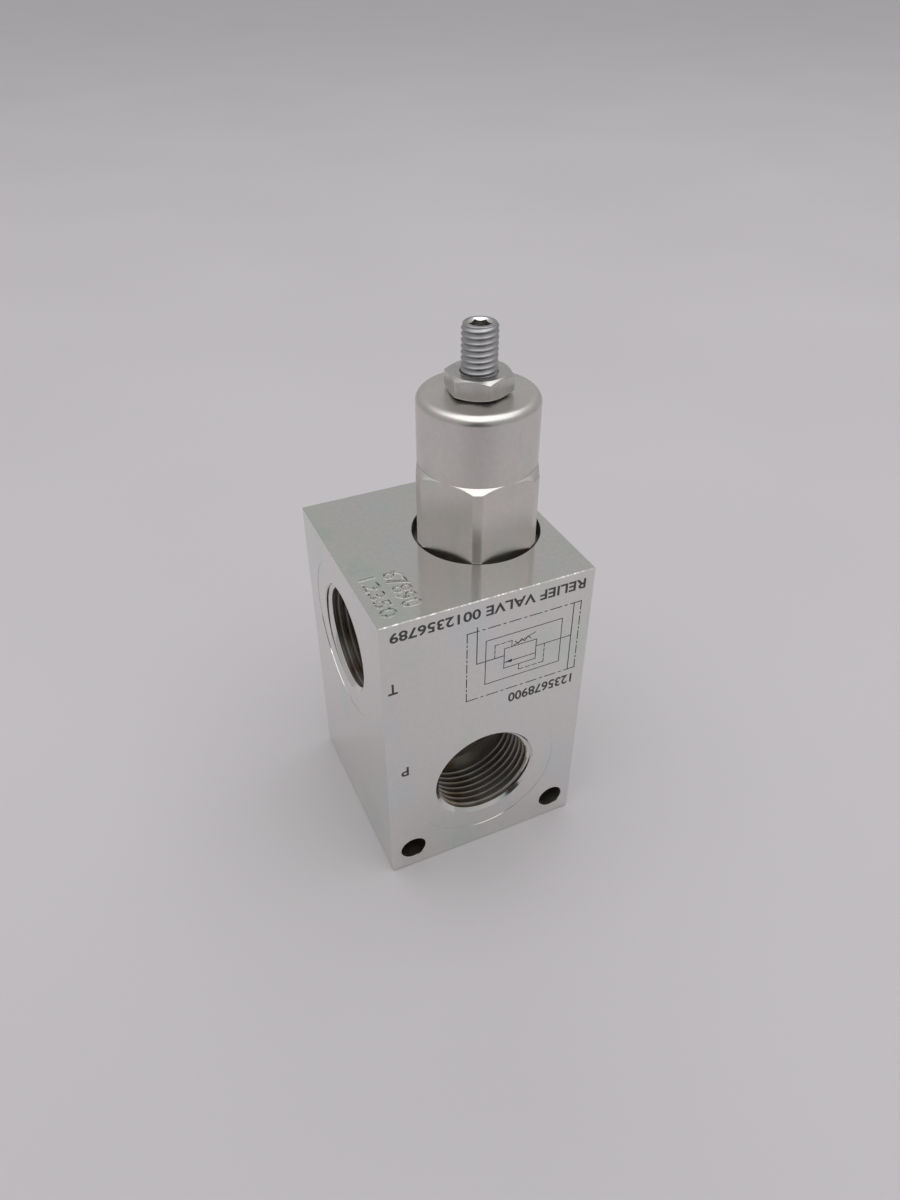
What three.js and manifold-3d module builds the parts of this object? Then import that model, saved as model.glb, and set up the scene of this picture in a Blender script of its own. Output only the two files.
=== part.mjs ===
// Pressure relief valve: a direct-acting screw-in cartridge in a square steel block with G 3/4 ports.
// Millimetres, +Z up along the cartridge, origin at the centre of the block's base.
// The pressure port P runs through the block from front (-Y) to back, and the tank port T opens to the left (-X).
// Threads are plain: a male thread is its crest cylinder, and a female one clears it.

import * as THREE from "three";
import { mergeVertices } from "three/addons/utils/BufferGeometryUtils.js";
import Module from "manifold-3d";

const wasm = await Module();
wasm.setup();

// Block and its ports
const BLOCK_SIDE = 51;
const BLOCK_HEIGHT = 80;
const CARTRIDGE_X = 8.7; // the cartridge stands off centre, away from port T
const PORT_P_Z = 25;
const PORT_T_Z = 58.3;
const PORT_R = 12.05; // G 3/4 tapping radius
const PORT_MOUTH_R = 13.3;
const PORT_CHAMFER = PORT_MOUTH_R - PORT_R;
const PORT_DEPTH = 16;
const SPOT_FACE_R = 18.8;
const SPOT_FACE_DEPTH = 0.15;
const PASSAGE_P_R = 10;
const PASSAGE_T_R = 9;
const MOUNT_HOLE_R = 3.3; // clears an M6 screw
const MOUNT_HOLE_X = 19.75;
const MOUNT_HOLE_Z = 6.5;

// Cartridge cavity in the block, from the top down
const COUNTERBORE_R = 15;
const SEAT_Z = 76; // the hexagon's shoulder seats here
const SEAL_CONE_R = 13.4;
const SEAL_CONE_BOTTOM_Z = 74.2;
const GALLERY_R = 12.15; // M24 x 1.5 thread above, tank gallery below
const GALLERY_BOTTOM_Z = 50;
const NOSE_BORE_R = 9.1;
const NOSE_BORE_TOP_Z = 47;
const NOSE_BORE_BOTTOM_Z = 36;
const INLET_HOLE_R = 6.5;

// Cartridge body: cap and hexagon are turned from one hexagonal bar
const HEX_ACROSS_FLATS = 26.7;
const HEX_CORNER_R = 14.8;
const HEX_TURN = 4.5; // degrees from +X to the first corner
const HEX_TOP_Z = 98.1;
const HEX_CHAMFER = 1;
const CAP_R = 13.4;
const CAP_TOP_Z = 114;
const CAP_ROUND = 2;
const THREAD_R = 11.9;
const THREAD_TOP_Z = 73.8;
const THREAD_BOTTOM_Z = 66.5;
const NECK_R = 10.8;
const SKIRT_R = 10.6;
const SKIRT_BOTTOM_Z = 62;
const CAGE_THREAD_R = 9;
const CAGE_THREAD_TOP_Z = 70;
const SPRING_CHAMBER_R = 8.4;
const SPRING_CHAMBER_TOP_Z = 107;
const SCREW_HOLE_R = 4.15;

// Adjuster: M8 x 1.25
const SCREW_R = 3.86;
const SCREW_TOP_Z = 128.6;
const SCREW_BOTTOM_Z = 109.1;
const SCREW_CHAMFER = 0.6;
const SOCKET_ACROSS_FLATS = 4;
const SOCKET_DEPTH = 5;
const SOCKET_TURN = 33.25;
const WASHER_R = 6.3;
const WASHER_THICKNESS = 0.25;
const NUT_ACROSS_FLATS = 13;
const NUT_HEIGHT = 4.3;
const NUT_TURN = 21;
const NUT_CHAMFER_R = 6.1;

// Spring follower, pushed down by the screw through a ball
const FOLLOWER_R = 8.3;
const FOLLOWER_TOP_Z = 106.7;
const FOLLOWER_BOTTOM_Z = 100;
const FOLLOWER_GROOVE_Z = 101.8;
const FOLLOWER_GROOVE_WIDTH = 3.2;
const FOLLOWER_GROOVE_R = 6.3;
const BALL_R = 2.5;
const BALL_POCKET_R = 2.7;
const BALL_POCKET_DEPTH = 2.7;

// Spring and its guides
const WIRE_R = 1.55;
const COIL_R = 6.35;
const COIL_TURNS = 5.5;
const END_PITCH = 3.2;
const SPRING_BOTTOM_Z = 74.2;
const SPRING_TOP_Z = 99.8;
const GUIDE_SPIGOT_R = 4.6;
const GUIDE_R = 7.9;
const GUIDE_BOTTOM_Z = 70.4;
const GUIDE_TOP_Z = 73.4;
const SHIMS = [["spring_shim_lower", 0.35], ["spring_shim_upper", 0.2]]; // name and thickness

// Cage with its seat and poppet
const CAGE_R = 10;
const CAGE_BOTTOM_Z = 37;
const CAGE_SHOULDER_Z = 61.9;
const CAGE_TOP_Z = 69.5;
const NOSE_R = 8.9;
const NOSE_TOP_Z = 48.6;
const NOSE_GROOVE_R = 7.2;
const NOSE_GROOVE_BOTTOM_Z = 40;
const NOSE_GROOVE_TOP_Z = 44.6;
const INLET_R = 5.5;
const SEAT_POCKET_R = 6.6;
const SEAT_POCKET_Z = 45.2;
const CAGE_CHAMBER_R = 7.6;
const CAGE_CHAMBER_Z = 50;
const CAGE_GUIDE_Z = 59;
const CAGE_GUIDE_R = 6;
const WINDOW_R = 2.8;
const WINDOW_Z = 54.5;
const WINDOW_COUNT = 6;
const SEAT_R = 4.8;
const SEAT_CHAMFER = 0.7;
const POPPET_R = 5.9;
const POPPET_TIP_R = 2.6;
const POPPET_TIP_Z = 47.1;
const POPPET_TOP_Z = 70.3;
const POPPET_BORE_R = 3.2;
const POPPET_BORE_Z = 56;
const VENT_R = 0.9;

const GAP = 0.1; // between neighbouring pieces
const SHIM_GAP = 0.05;
const PAST = 2; // how far a cutter reaches past the face it opens

const degrees = THREE.MathUtils.degToRad;

// ---- shapes ----

// A solid of revolution about Z. The profile lists [radius, z] up the outside and down the inside.
function revolve(profile, segments = 36) {
  const points = profile.map(([r, z]) => new THREE.Vector2(r, z));
  if (profile[0][0] !== 0) points.push(points[0].clone());
  return new THREE.LatheGeometry(points, segments).rotateX(Math.PI / 2);
}

function cylinder(radius, bottom, top, segments = 36) {
  return revolve([[0, bottom], [radius, bottom], [radius, top], [0, top]], segments);
}

function tube(inner, outer, bottom, top, segments = 36) {
  return revolve([[inner, bottom], [outer, bottom], [outer, top], [inner, top]], segments);
}

function hexPrism(acrossFlats, bottom, top, turn) {
  const cornerR = acrossFlats / Math.sqrt(3);
  const corners = [0, 1, 2, 3, 4, 5].map((i) => {
    const angle = degrees(turn + 60 * i);
    return new THREE.Vector2(cornerR * Math.cos(angle), cornerR * Math.sin(angle));
  });
  const outline = new THREE.Shape(corners);
  const options = { depth: top - bottom, bevelEnabled: false };
  return new THREE.ExtrudeGeometry(outline, options).translate(0, 0, bottom);
}

// An O-ring as it sits in its groove: a round section, flattened where a wall squeezes it.
function sealRing(centreR, centreZ, halfWidth, halfHeight) {
  const sides = 8;
  const profile = [];
  for (let i = 0; i < sides; i++) {
    const angle = -Math.PI / 2 + ((i + 0.5) * 2 * Math.PI) / sides;
    profile.push([centreR + halfWidth * Math.cos(angle), centreZ + halfHeight * Math.sin(angle)]);
  }
  return revolve(profile);
}

// ---- booleans ----

function solid(geometry) {
  const bare = geometry.index ? geometry.toNonIndexed() : geometry.clone();
  bare.deleteAttribute("normal");
  bare.deleteAttribute("uv");
  const merged = mergeVertices(bare, 1e-4);
  return new wasm.Manifold(
    new wasm.Mesh({
      numProp: 3,
      vertProperties: new Float32Array(merged.attributes.position.array),
      triVerts: new Uint32Array(merged.index.array),
    }),
  );
}

function geometryOf(manifold) {
  const mesh = manifold.getMesh();
  const geometry = new THREE.BufferGeometry();
  geometry.setAttribute("position", new THREE.BufferAttribute(mesh.vertProperties, 3));
  geometry.setIndex(new THREE.BufferAttribute(mesh.triVerts, 1));
  return geometry;
}

function cut(base, ...tools) {
  return geometryOf(tools.reduce((made, tool) => made.subtract(solid(tool)), solid(base)));
}

function join(base, ...others) {
  return geometryOf(others.reduce((made, other) => made.add(solid(other)), solid(base)));
}

function overlap(base, other) {
  return geometryOf(solid(base).intersect(solid(other)));
}

// ---- block ----

// The cutter of a threaded port, its mouth at z = 0 and its bore running down -Z.
function portCutter() {
  return revolve([
    [0, -PORT_DEPTH],
    [PORT_R, -PORT_DEPTH],
    [PORT_R, -SPOT_FACE_DEPTH - PORT_CHAMFER],
    [PORT_MOUTH_R, -SPOT_FACE_DEPTH],
    [SPOT_FACE_R, -SPOT_FACE_DEPTH],
    [SPOT_FACE_R, PAST],
    [0, PAST],
  ]);
}

function alongY(geometry, x, y, z, towardsBack) {
  return geometry.rotateX(towardsBack ? -Math.PI / 2 : Math.PI / 2).translate(x, y, z);
}

function cavityCutter() {
  return revolve([
    [0, PORT_P_Z],
    [INLET_HOLE_R, PORT_P_Z],
    [INLET_HOLE_R, NOSE_BORE_BOTTOM_Z],
    [NOSE_BORE_R, NOSE_BORE_BOTTOM_Z],
    [NOSE_BORE_R, NOSE_BORE_TOP_Z],
    [GALLERY_R, GALLERY_BOTTOM_Z],
    [GALLERY_R, SEAL_CONE_BOTTOM_Z],
    [SEAL_CONE_R, SEAT_Z],
    [COUNTERBORE_R, SEAT_Z],
    [COUNTERBORE_R, BLOCK_HEIGHT + PAST],
    [0, BLOCK_HEIGHT + PAST],
  ]).translate(CARTRIDGE_X, 0, 0);
}

function manifoldBlock() {
  const half = BLOCK_SIDE / 2;
  const bar = new THREE.BoxGeometry(BLOCK_SIDE, BLOCK_SIDE, BLOCK_HEIGHT).translate(0, 0, BLOCK_HEIGHT / 2);
  const frontPort = alongY(portCutter(), 0, -half, PORT_P_Z, false);
  const backPort = alongY(portCutter(), 0, half, PORT_P_Z, true);
  const tankPort = portCutter().rotateY(-Math.PI / 2).translate(-half, 0, PORT_T_Z);
  const pressurePassage = alongY(cylinder(PASSAGE_P_R, -half, half), 0, 0, PORT_P_Z, false);
  const tankPassage = cylinder(PASSAGE_T_R, 0, half).rotateY(-Math.PI / 2).translate(0, 0, PORT_T_Z);
  const mountHoles = [-MOUNT_HOLE_X, MOUNT_HOLE_X].map((x) =>
    alongY(cylinder(MOUNT_HOLE_R, -half - PAST, half + PAST, 24), x, 0, MOUNT_HOLE_Z, false),
  );
  return cut(bar, frontPort, backPort, tankPort, pressurePassage, tankPassage, cavityCutter(), ...mountHoles);
}

// ---- cartridge body ----

function cartridgeBody() {
  // The turned envelope takes the hexagon's sharp corners and chamfers them at both ends.
  const envelope = revolve([
    [0, SEAT_Z],
    [HEX_CORNER_R - HEX_CHAMFER, SEAT_Z],
    [HEX_CORNER_R, SEAT_Z + HEX_CHAMFER / 2],
    [HEX_CORNER_R, HEX_TOP_Z - HEX_CHAMFER],
    [CAP_R, HEX_TOP_Z],
    [0, HEX_TOP_Z],
  ]);
  const hexagon = overlap(hexPrism(HEX_ACROSS_FLATS, SEAT_Z, HEX_TOP_Z, HEX_TURN), envelope);
  const roundSteps = 4;
  const cap = [];
  for (let i = 0; i <= roundSteps; i++) {
    const angle = (i / roundSteps) * (Math.PI / 2);
    cap.push([
      CAP_R - CAP_ROUND * (1 - Math.cos(angle)),
      CAP_TOP_Z - CAP_ROUND * (1 - Math.sin(angle)),
    ]);
  }
  const turned = revolve([
    [0, SKIRT_BOTTOM_Z],
    [SKIRT_R, SKIRT_BOTTOM_Z],
    [SKIRT_R, THREAD_BOTTOM_Z],
    [THREAD_R, THREAD_BOTTOM_Z + THREAD_R - SKIRT_R],
    [THREAD_R, THREAD_TOP_Z],
    [NECK_R, THREAD_TOP_Z],
    [NECK_R, SEAT_Z + HEX_CHAMFER],
    [CAP_R, SEAT_Z + HEX_CHAMFER],
    ...cap,
    [0, CAP_TOP_Z],
  ]);
  const bore = revolve([
    [0, SKIRT_BOTTOM_Z - PAST],
    [CAGE_THREAD_R, SKIRT_BOTTOM_Z - PAST],
    [CAGE_THREAD_R, CAGE_THREAD_TOP_Z],
    [SPRING_CHAMBER_R, CAGE_THREAD_TOP_Z],
    [SPRING_CHAMBER_R, SPRING_CHAMBER_TOP_Z],
    [SCREW_HOLE_R, SPRING_CHAMBER_TOP_Z],
    [SCREW_HOLE_R, CAP_TOP_Z + PAST],
    [0, CAP_TOP_Z + PAST],
  ]);
  return cut(join(hexagon, turned), bore);
}

// ---- adjuster ----

function adjustingScrew() {
  const shank = revolve([
    [0, SCREW_BOTTOM_Z],
    [SCREW_R - SCREW_CHAMFER, SCREW_BOTTOM_Z],
    [SCREW_R, SCREW_BOTTOM_Z + SCREW_CHAMFER],
    [SCREW_R, SCREW_TOP_Z - SCREW_CHAMFER],
    [SCREW_R - SCREW_CHAMFER, SCREW_TOP_Z],
    [0, SCREW_TOP_Z],
  ]);
  return cut(shank, hexPrism(SOCKET_ACROSS_FLATS, SCREW_TOP_Z - SOCKET_DEPTH, SCREW_TOP_Z + PAST, SOCKET_TURN));
}

function lockNut() {
  const bottom = CAP_TOP_Z + WASHER_THICKNESS;
  const top = bottom + NUT_HEIGHT;
  const cornerR = NUT_ACROSS_FLATS / Math.sqrt(3);
  const chamferDrop = (cornerR - NUT_CHAMFER_R) * Math.tan(degrees(30));
  const envelope = revolve([
    [0, bottom],
    [NUT_CHAMFER_R, bottom],
    [cornerR, bottom + chamferDrop],
    [cornerR, top - chamferDrop],
    [NUT_CHAMFER_R, top],
    [0, top],
  ]);
  const blank = overlap(hexPrism(NUT_ACROSS_FLATS, bottom, top, NUT_TURN), envelope);
  return cut(blank, cylinder(SCREW_HOLE_R, bottom - PAST, top + PAST));
}

function nutWasher() {
  return tube(SCREW_HOLE_R, WASHER_R, CAP_TOP_Z, CAP_TOP_Z + WASHER_THICKNESS);
}

// ---- follower, spring and guides ----

function springFollower() {
  return revolve([
    [0, FOLLOWER_BOTTOM_Z - 6],
    [GUIDE_SPIGOT_R - 1, FOLLOWER_BOTTOM_Z - 6],
    [GUIDE_SPIGOT_R, FOLLOWER_BOTTOM_Z - 4],
    [GUIDE_SPIGOT_R, FOLLOWER_BOTTOM_Z],
    [FOLLOWER_R, FOLLOWER_BOTTOM_Z],
    [FOLLOWER_R, FOLLOWER_GROOVE_Z],
    [FOLLOWER_GROOVE_R, FOLLOWER_GROOVE_Z],
    [FOLLOWER_GROOVE_R, FOLLOWER_GROOVE_Z + FOLLOWER_GROOVE_WIDTH],
    [FOLLOWER_R, FOLLOWER_GROOVE_Z + FOLLOWER_GROOVE_WIDTH],
    [FOLLOWER_R, FOLLOWER_TOP_Z],
    [BALL_POCKET_R, FOLLOWER_TOP_Z],
    [BALL_POCKET_R, FOLLOWER_TOP_Z - BALL_POCKET_DEPTH],
    [0, FOLLOWER_TOP_Z - BALL_POCKET_DEPTH],
  ]);
}

function thrustBall() {
  const centreZ = FOLLOWER_TOP_Z - BALL_POCKET_DEPTH + GAP / 2 + BALL_R;
  return new THREE.SphereGeometry(BALL_R, 20, 12).rotateX(Math.PI / 2).translate(0, 0, centreZ);
}

// The spring's centre line: a close turn at each end, and an even pitch between.
class SpringLine extends THREE.Curve {
  getPoint(t, target = new THREE.Vector3()) {
    const turn = t * COIL_TURNS;
    const start = SPRING_BOTTOM_Z + WIRE_R / 2;
    const rise = SPRING_TOP_Z - SPRING_BOTTOM_Z - WIRE_R;
    const pitch = (rise - 2 * END_PITCH) / (COIL_TURNS - 2);
    const middle = THREE.MathUtils.clamp(turn - 1, 0, COIL_TURNS - 2);
    const z = start + END_PITCH * (turn - middle) + pitch * middle;
    const angle = turn * 2 * Math.PI;
    return target.set(COIL_R * Math.cos(angle), COIL_R * Math.sin(angle), z);
  }
}

function mainSpring() {
  const section = new THREE.Shape();
  const sides = 8;
  for (let i = 0; i < sides; i++) {
    const angle = (i * 2 * Math.PI) / sides;
    const move = i ? "lineTo" : "moveTo";
    section[move](WIRE_R * Math.cos(angle), WIRE_R * Math.sin(angle));
  }
  section.closePath();
  const wire = new THREE.ExtrudeGeometry(section, {
    steps: Math.round(COIL_TURNS * 12),
    bevelEnabled: false,
    extrudePath: new SpringLine(),
  });
  const groundEnds = cylinder(SPRING_CHAMBER_R, SPRING_BOTTOM_Z, SPRING_TOP_Z, 24);
  return overlap(wire, groundEnds);
}

function lowerSpringGuide() {
  return revolve([
    [VENT_R, GUIDE_BOTTOM_Z - 3],
    [POPPET_BORE_R - GAP * 2, GUIDE_BOTTOM_Z - 3],
    [POPPET_BORE_R - GAP * 2, GUIDE_BOTTOM_Z],
    [GUIDE_R, GUIDE_BOTTOM_Z],
    [GUIDE_R, GUIDE_TOP_Z],
    [GUIDE_SPIGOT_R, GUIDE_TOP_Z],
    [GUIDE_SPIGOT_R, GUIDE_TOP_Z + 4],
    [GUIDE_SPIGOT_R - 1, GUIDE_TOP_Z + 6],
    [VENT_R, GUIDE_TOP_Z + 6],
  ]);
}

// The shims lie one on the other on the lower guide, under the spring.
function springShims() {
  let bottom = GUIDE_TOP_Z + SHIM_GAP;
  return SHIMS.map(([name, thickness]) => {
    const shim = tube(GUIDE_SPIGOT_R + 2 * GAP, GUIDE_R - GAP, bottom, bottom + thickness);
    bottom += thickness + SHIM_GAP;
    return piece(name, shim, hardenedSteel);
  });
}

// ---- cage, seat and poppet ----

function valveCage() {
  const lead = NOSE_R - 8.2;
  const shell = revolve([
    [INLET_R, CAGE_BOTTOM_Z],
    [NOSE_R - lead, CAGE_BOTTOM_Z],
    [NOSE_R, CAGE_BOTTOM_Z + lead],
    [NOSE_R, NOSE_GROOVE_BOTTOM_Z],
    [NOSE_GROOVE_R, NOSE_GROOVE_BOTTOM_Z],
    [NOSE_GROOVE_R, NOSE_GROOVE_TOP_Z],
    [NOSE_R, NOSE_GROOVE_TOP_Z],
    [NOSE_R, NOSE_TOP_Z],
    [CAGE_R, NOSE_TOP_Z + CAGE_R - NOSE_R],
    [CAGE_R, CAGE_SHOULDER_Z],
    [CAGE_THREAD_R - GAP, CAGE_SHOULDER_Z],
    [CAGE_THREAD_R - GAP, CAGE_TOP_Z],
    [CAGE_GUIDE_R, CAGE_TOP_Z],
    [CAGE_GUIDE_R, CAGE_GUIDE_Z],
    [CAGE_CHAMBER_R, CAGE_GUIDE_Z],
    [CAGE_CHAMBER_R, CAGE_CHAMBER_Z],
    [SEAT_POCKET_R, CAGE_CHAMBER_Z],
    [SEAT_POCKET_R, SEAT_POCKET_Z],
    [INLET_R, SEAT_POCKET_Z],
  ]);
  const windows = [];
  for (let i = 0; i < WINDOW_COUNT; i++) {
    const hole = cylinder(WINDOW_R, CAGE_GUIDE_R, CAGE_R + PAST, 16).rotateY(Math.PI / 2);
    windows.push(hole.rotateZ(degrees((360 / WINDOW_COUNT) * i)).translate(0, 0, WINDOW_Z));
  }
  return cut(shell, ...windows);
}

function valveSeat() {
  const top = CAGE_CHAMBER_Z - GAP;
  return revolve([
    [SEAT_R, SEAT_POCKET_Z + GAP],
    [SEAT_POCKET_R - GAP, SEAT_POCKET_Z + GAP],
    [SEAT_POCKET_R - GAP, top],
    [SEAT_R + SEAT_CHAMFER, top],
    [SEAT_R, top - SEAT_CHAMFER],
  ]);
}

function poppet() {
  const body = revolve([
    [0, POPPET_TIP_Z],
    [POPPET_TIP_R, POPPET_TIP_Z],
    [POPPET_R, POPPET_TIP_Z + POPPET_R - POPPET_TIP_R],
    [POPPET_R, POPPET_TOP_Z],
    [POPPET_BORE_R, POPPET_TOP_Z],
    [POPPET_BORE_R, POPPET_BORE_Z],
    [0, POPPET_BORE_Z],
  ]);
  const vent = cylinder(VENT_R, -POPPET_R - PAST, POPPET_R + PAST, 12).rotateY(Math.PI / 2);
  return cut(body, vent.translate(0, 0, POPPET_BORE_Z + 1.5));
}

// ---- seals ----

function bodySeal() {
  return sealRing(11.62, 75.15, 0.75, 0.75);
}

function noseSeal() {
  return sealRing((NOSE_GROOVE_R + NOSE_BORE_R) / 2, 42.3, 0.87, 1.1);
}

function noseBackupRing(bottom) {
  return tube(NOSE_GROOVE_R + GAP, NOSE_R, bottom, bottom + 1);
}

function followerSeal() {
  return sealRing((FOLLOWER_GROOVE_R + SPRING_CHAMBER_R) / 2, FOLLOWER_GROOVE_Z + 1.15, 0.95, 1.05);
}

function followerBackupRing() {
  const bottom = FOLLOWER_GROOVE_Z + 2.25;
  return tube(FOLLOWER_GROOVE_R + GAP, FOLLOWER_R, bottom, bottom + 0.9);
}

// ---- assembly ----

const zincPlatedBlock = new THREE.MeshStandardMaterial({ color: 0xb9bcb9, roughness: 0.35, metalness: 0.9 });
const zincPlatedBar = new THREE.MeshStandardMaterial({ color: 0xa9a7a2, roughness: 0.28, metalness: 0.95 });
const fastenerSteel = new THREE.MeshStandardMaterial({ color: 0x9fa2a6, roughness: 0.3, metalness: 0.95 });
const hardenedSteel = new THREE.MeshStandardMaterial({ color: 0x8c8c8e, roughness: 0.25, metalness: 1 });
const springSteel = new THREE.MeshStandardMaterial({ color: 0x6f6d6a, roughness: 0.4, metalness: 0.9 });
const sealRubber = new THREE.MeshStandardMaterial({ color: 0x1b1b1c, roughness: 0.7, metalness: 0 });
const backupPlastic = new THREE.MeshStandardMaterial({ color: 0xe4e0d4, roughness: 0.5, metalness: 0 });

function piece(name, geometry, material) {
  const mesh = new THREE.Mesh(geometry, material);
  mesh.name = name;
  return mesh;
}

const cartridge = new THREE.Group();
cartridge.position.x = CARTRIDGE_X;
cartridge.add(
  piece("cartridge_body", cartridgeBody(), zincPlatedBar),
  piece("body_o_ring", bodySeal(), sealRubber),
  piece("valve_cage", valveCage(), hardenedSteel),
  piece("nose_o_ring", noseSeal(), sealRubber),
  piece("nose_backup_ring_lower", noseBackupRing(NOSE_GROOVE_BOTTOM_Z + GAP), backupPlastic),
  piece("nose_backup_ring_upper", noseBackupRing(NOSE_GROOVE_TOP_Z - GAP - 1), backupPlastic),
  piece("valve_seat", valveSeat(), hardenedSteel),
  piece("poppet", poppet(), hardenedSteel),
  piece("lower_spring_guide", lowerSpringGuide(), hardenedSteel),
  ...springShims(),
  piece("main_spring", mainSpring(), springSteel),
  piece("spring_follower", springFollower(), hardenedSteel),
  piece("follower_o_ring", followerSeal(), sealRubber),
  piece("follower_backup_ring", followerBackupRing(), backupPlastic),
  piece("thrust_ball", thrustBall(), hardenedSteel),
  piece("adjusting_screw", adjustingScrew(), fastenerSteel),
  piece("nut_seal_washer", nutWasher(), sealRubber),
  piece("lock_nut", lockNut(), fastenerSteel),
);

const valve = new THREE.Group();
valve.add(piece("manifold_block", manifoldBlock(), zincPlatedBlock), cartridge);

export default valve;
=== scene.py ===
"""The looks of a screw-in pressure relief valve in its square steel block.

Sizes are in millimetres and turn into metres as each mesh is made. The block's size, the cartridge's axis,
the ends of each turned piece and most outer radii are read from the CAD nodes' boxes.
"""

import math

import bmesh
import bpy
import numpy as np
from mathutils import Euler, Matrix, Vector


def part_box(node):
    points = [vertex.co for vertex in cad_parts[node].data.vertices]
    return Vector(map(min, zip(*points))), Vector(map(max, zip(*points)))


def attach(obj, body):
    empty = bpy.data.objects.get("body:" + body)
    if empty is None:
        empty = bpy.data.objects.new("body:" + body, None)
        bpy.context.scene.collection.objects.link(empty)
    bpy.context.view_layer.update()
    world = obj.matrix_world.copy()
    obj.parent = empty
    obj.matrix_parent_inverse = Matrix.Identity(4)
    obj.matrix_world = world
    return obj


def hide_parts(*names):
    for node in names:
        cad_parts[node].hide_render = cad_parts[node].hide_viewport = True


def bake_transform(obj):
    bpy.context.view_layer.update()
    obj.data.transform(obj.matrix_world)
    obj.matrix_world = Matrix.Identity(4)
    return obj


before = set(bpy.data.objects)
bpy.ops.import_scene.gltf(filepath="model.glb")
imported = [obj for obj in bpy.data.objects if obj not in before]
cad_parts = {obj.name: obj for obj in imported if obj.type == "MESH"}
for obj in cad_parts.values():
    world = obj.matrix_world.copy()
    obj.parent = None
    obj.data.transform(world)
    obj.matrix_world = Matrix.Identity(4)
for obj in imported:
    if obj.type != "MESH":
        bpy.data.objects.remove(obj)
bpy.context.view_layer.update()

MM = 0.001
FULL_TURN = 2 * math.pi


def levels(node):
    """Outer radius, bottom and top of a turned CAD node, in millimetres."""
    low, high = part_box(node)
    return (high.y - low.y) / 2 / MM, low.z / MM, high.z / MM


block_low, block_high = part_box("manifold_block")
body_low, body_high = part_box("cartridge_body")
AXIS_X = (body_low.x + body_high.x) / 2 / MM
BLOCK_HALF = block_high.x / MM
BLOCK_TOP = block_high.z / MM

# Ports
PORT_P_Z = 25.0
PORT_T_Z = 58.3
PORT_PITCH = 1.814  # G 3/4
PORT_MAJOR_R = 13.22
PORT_MINOR_R = 12.06
PORT_MOUTH_R = 13.35
PORT_DEPTH = 16.0
THREAD_DEPTH = 13.5
SPOT_FACE_R = 18.8
SPOT_FACE_DEPTH = 0.08
PASSAGE_P_R = 10.0
PASSAGE_T_R = 9.0
PASSAGE_END = 24  # distance from the block's middle, inside the ports
MOUNT_HOLE_R = 3.3
MOUNT_HOLE_X = 19.75
MOUNT_HOLE_Z = 6.5
MOUNT_HOLE_CHAMFER = 0.32
EDGE_BREAK = 0.2
TOOTH_PITCH = 0.2  # serration along the top front edge
TOOTH_DEPTH = 0.014
BORE_SHADE_DEPTH = 1.45  # faces deeper in the block than this get a darker, browner metal: painted shade inside the bores

# Cartridge cavity
COUNTERBORE_R = 15.0
COUNTERBORE_EDGE = 0.08
CUTTER_REACH = 0.2  # how far a chamfering cutter passes the face that it cuts
SEAT_Z = 76.0
SEAL_CONE_R = 13.4
CAVITY_THREAD_TOP_Z = 74.2
GALLERY_R = 12.0
GALLERY_BOTTOM_Z = 50.0
NOSE_BORE_R = 9.1
NOSE_BORE_TOP_Z = 47.0
NOSE_BORE_BOTTOM_Z = 36.0
INLET_HOLE_R = 6.5

# Cartridge body
HEX_ACROSS_FLATS = 26.7
HEX_CORNER_R = 14.8
HEX_TURN = math.radians(4.5)
HEX_TOP_Z = 98.1
HEX_CHAMFER_SLOPE = 0.7
CAP_R = 13.4
CAP_ROUND = 2.0
BODY_THREAD_R = 11.9
THREAD_TOP_Z = 73.8
THREAD_BOTTOM_Z = 66.5
NECK_R = 10.8
SKIRT_R = 10.6
CAGE_THREAD_R = 9.0
CAGE_THREAD_TOP_Z = 70.0
SPRING_CHAMBER_R = 8.4
SPRING_CHAMBER_TOP_Z = 107.0

# Adjuster
SCREW_PITCH = 1.25  # M8
SCREW_CREST_R = 3.86
SCREW_ROOT_R = 3.4
THREAD_CLEARANCE = 0.07
SOCKET_ACROSS_FLATS = 4.0
SOCKET_DEPTH = 5.0
SOCKET_TURN = math.radians(33.25)
SOCKET_LEAD_R = 2.55
NUT_ACROSS_FLATS = 13.0
NUT_TURN = math.radians(21)
NUT_CHAMFER_R = 6.1
NUT_CHAMFER_SLOPE = 0.45

# Inner pieces
WIRE_R = 1.5
COIL_R = 6.35
COIL_TURNS = 5.5
END_PITCH = 3.2
SPRING_SPLIT_Z = 81.0  # the spring is made as two pieces, split where its wire passes this height
GUIDE_SPIGOT_R = 4.6
VENT_R = 0.9
FOLLOWER_SHOULDER_Z = 100.0
FOLLOWER_GROOVE_Z = 101.8
FOLLOWER_GROOVE_WIDTH = 3.2
FOLLOWER_GROOVE_R = 6.3
BALL_POCKET_R = 2.7
BALL_POCKET_DEPTH = 2.7
CAGE_R = 10.0
CAGE_SHOULDER_Z = 61.9
NOSE_R = 8.9
NOSE_TOP_Z = 48.6
NOSE_GROOVE_R = 7.2
NOSE_GROOVE_BOTTOM_Z = 40.0
NOSE_GROOVE_TOP_Z = 44.6
INLET_R = 5.5
SEAT_POCKET_R = 6.6
SEAT_POCKET_Z = 45.2
CAGE_CHAMBER_R = 7.6
CAGE_CHAMBER_Z = 50.0
CAGE_GUIDE_Z = 59.0
CAGE_GUIDE_R = 6.0
WINDOW_R = 2.8
WINDOW_Z = 54.5
WINDOW_COUNT = 6
SEAT_R = 4.8
SEAT_CHAMFER = 0.7
POPPET_TIP_R = 2.6
POPPET_BORE_R = 3.2
POPPET_BORE_Z = 56.0

# Front marking, all of it upside down on the block
MARK_DEPTH = 0.03
MARK_LINE = 0.24
LETTER_HEIGHT = 2.75
LETTER_WEIGHT = 0.022

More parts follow.
